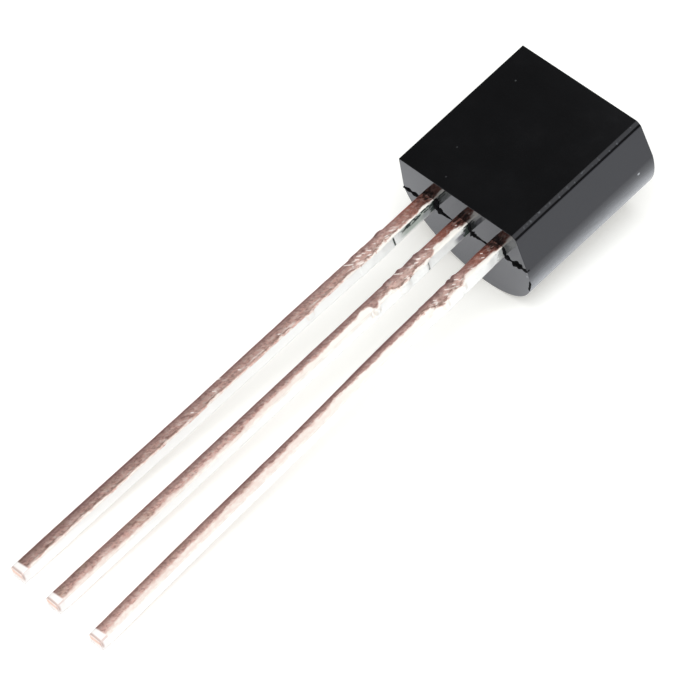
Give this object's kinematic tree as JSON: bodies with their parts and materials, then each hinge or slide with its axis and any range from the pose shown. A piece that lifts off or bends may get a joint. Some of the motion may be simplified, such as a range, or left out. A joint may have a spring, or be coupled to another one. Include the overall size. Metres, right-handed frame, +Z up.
{
  "type": "voltage regulator",
  "caption": "Small moulded voltage regulator with a flat face, a half-round back and straight leads in one row, lying flat face up on its back and lead tips.",
  "frame": {"origin": "middle of the part's box, on the surface that it lies on", "axes": "+Z up, +Y from the lead tips towards the body, +X from the output lead to the input lead"},
  "size_m": [0.0046, 0.0192, 0.0042],
  "materials": {
    "moulded_epoxy": "gloss",
    "lead_metal": "polished",
    "bond_layer": "matte",
    "silicon": "polished",
    "bond_wire": "polished"
  },
  "bodies": {
    "root": {"package_body": "moulded_epoxy", "output_lead": "lead_metal", "ground_lead": "lead_metal", "input_lead": "lead_metal", "die_attach": "bond_layer", "regulator_die": "silicon", "output_wire": "bond_wire", "ground_wire": "bond_wire", "input_wire": "bond_wire"}
  },
  "joints": []
}
